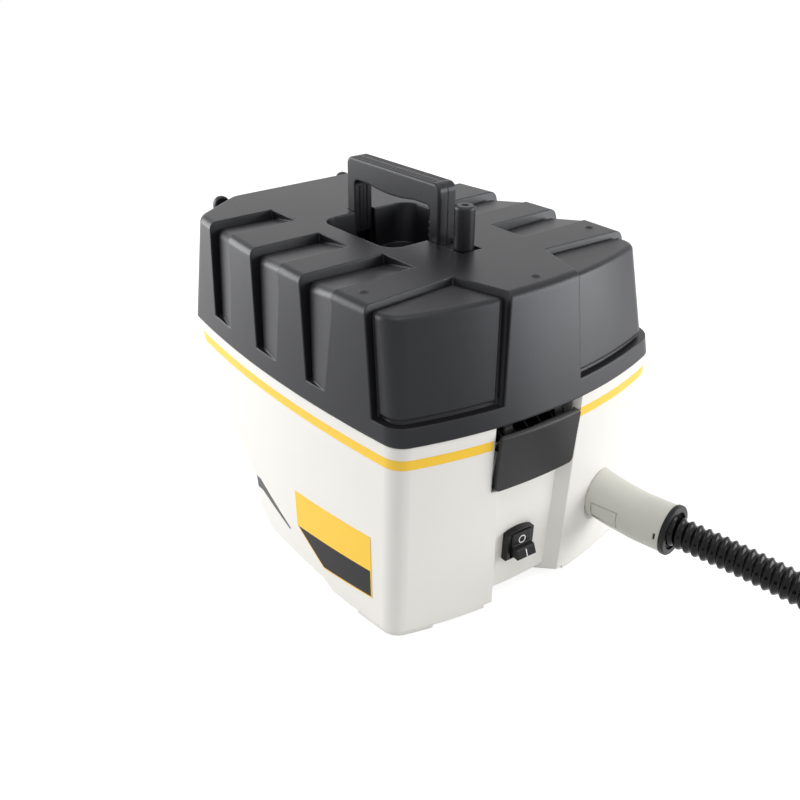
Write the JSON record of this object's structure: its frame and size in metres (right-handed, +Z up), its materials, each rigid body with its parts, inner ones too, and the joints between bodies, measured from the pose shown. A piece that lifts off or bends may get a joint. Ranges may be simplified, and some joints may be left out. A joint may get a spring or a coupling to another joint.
{
  "type": "paint sprayer turbine unit",
  "caption": "Floor-standing turbine unit of a paint sprayer: white tub, hinged charcoal storage lid, pop-down handle, latch, rocker switch and a corrugated air hose.",
  "frame": {"origin": "on the floor, at the centre of the unit without its hose", "axes": "+X to the right as seen from the front, +Y to the rear, +Z up"},
  "size_m": [0.33, 1.001, 0.321],
  "materials": {
    "tub_white": "fine satin",
    "lid_charcoal": "satin grain",
    "black_plastic": "satin",
    "dark_grey_plastic": "satin",
    "light_grey_plastic": "satin",
    "black_gloss": "glossy",
    "stripe_yellow": "film",
    "label_dark": "film",
    "rubber_black": "matt",
    "tray_grey": "satin",
    "foam_grey": "open foam",
    "steel": "satin",
    "aluminium": "cast",
    "lamination": "satin",
    "copper_wound": "satin",
    "carbon": "matt"
  },
  "bodies": {
    "base": {"base_housing": "tub_white", "rear_intake_trim": "dark_grey_plastic", "air_filter": "foam_grey", "storage_tray": "tray_grey", "tray_screws": "steel", "latch_bracket": "black_plastic", "latch_pin": "steel", "latch_spring": "steel", "switch_bezel": "black_plastic", "switch_body": "black_plastic", "hose_port": "light_grey_plastic", "port_seal": "rubber_black", "outlet_duct": "rubber_black", "turbine_lower_housing": "aluminium", "turbine_upper_housing": "aluminium", "stage_diffuser": "aluminium", "motor_stator": "lamination", "motor_end_cap": "black_plastic", "shaft_bearings": "steel", "carbon_brushes": "carbon", "rubber_mounts": "rubber_black", "turbine_screws": "steel", "mains_cord_gland": "black_plastic", "terminal_block": "light_grey_plastic", "rubber_feet": "rubber_black", "lid_hinge_pins": "steel", "stripe_tape": "stripe_yellow", "side_label": "label_dark", "hose_plug": "light_grey_plastic", "hose_collar": "black_plastic", "air_hose": "black_gloss", "hose_coil": "black_gloss", "hose_end_connector": "light_grey_plastic"},
    "lid": {"lid_shell": "lid_charcoal", "gun_holder_peg": "lid_charcoal", "cord_hooks": "lid_charcoal"},
    "handle": {"handle_left_half": "lid_charcoal", "handle_right_half": "lid_charcoal", "handle_screws": "steel", "button_spring": "steel"},
    "release_button": {"handle_release_button": "black_plastic"},
    "latch": {"front_latch": "black_plastic"},
    "rocker": {"switch_rocker": "black_plastic"},
    "turbine_rotor": {"motor_shaft": "steel", "motor_rotor": "copper_wound", "first_impeller": "aluminium", "second_impeller": "aluminium", "cooling_fan": "black_plastic"},
    "filter_door": {"filter_cover": "dark_grey_plastic"},
    "plug_tab": {"plug_release_tab": "light_grey_plastic"}
  },
  "joints": [
    {"name": "lid_hinge", "type": "hinge", "parent": "base", "child": "lid", "pos_m": [0, 0.186, 0.174], "axis": [-1, 0, 0], "range_deg": [0, 100]},
    {"name": "handle_slide", "type": "slide", "parent": "lid", "child": "handle", "axis": [0, 0, -1], "range_m": [0, 0.04]},
    {"name": "release_button_press", "type": "slide", "parent": "handle", "child": "release_button", "axis": [0, -1, 0], "range_m": [0, 0.0018], "stiffness_N_per_m": 600, "springref_m": -0.002, "deforming": ["button_spring"]},
    {"name": "latch_pivot", "type": "hinge", "parent": "base", "child": "latch", "pos_m": [-0.0225, -0.181, 0.16], "axis": [-1, 0, 0], "range_deg": [0, 25], "stiffness_Nm_per_rad": 0.15, "springref_deg": -17.19},
    {"name": "power_rocker", "type": "hinge", "parent": "base", "child": "rocker", "pos_m": [-0.02559, -0.17481, 0.05556], "axis": [0.998, -0.0627, 0], "range_deg": [0, 20]},
    {"name": "turbine_spin", "type": "hinge", "parent": "base", "child": "turbine_rotor", "pos_m": [0, -0.072, 0.06], "axis": [0, 0, 1], "continuous": true},
    {"name": "filter_cover_lift", "type": "slide", "parent": "base", "child": "filter_door", "axis": [0, 1, 0], "range_m": [0, 0.03]},
    {"name": "plug_release", "type": "hinge", "parent": "base", "child": "plug_tab", "pos_m": [0.05579, -0.21341, 0.0594], "axis": [0, 0, -1], "range_deg": [0, 5], "stiffness_Nm_per_rad": 0.02, "springref_deg": -11.46}
  ]
}
